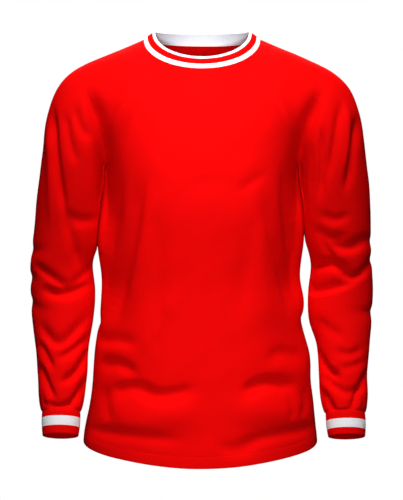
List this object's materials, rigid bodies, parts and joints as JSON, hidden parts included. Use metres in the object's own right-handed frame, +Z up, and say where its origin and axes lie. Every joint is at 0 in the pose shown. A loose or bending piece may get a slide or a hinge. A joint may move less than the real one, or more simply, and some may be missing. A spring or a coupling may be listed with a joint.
{
  "type": "football jersey",
  "caption": "Long-sleeved red football jersey filled out as if worn, with a round striped rib neckband, striped rib cuffs and a curved hem.",
  "frame": {"origin": "on the centre line, level with the points where the shoulder seams meet the neckband; a wearer's shoulders hold the jersey up there", "axes": "+Z up; the front of the jersey faces -Y; the wearer's left arm is at +X"},
  "size_m": [0.6017, 0.2769, 0.7312],
  "materials": {
    "red_knit": "plain red jersey knit",
    "red_rib": "red rib knit with a white stripe",
    "white_rib": "white rib knit with a red stripe"
  },
  "bodies": {
    "root": {"front": "red_knit", "back": "red_knit", "sleeve_right": "red_knit", "sleeve_left": "red_knit", "cuff_right": "red_rib", "cuff_left": "red_rib", "neckband": "white_rib"}
  },
  "joints": []
}
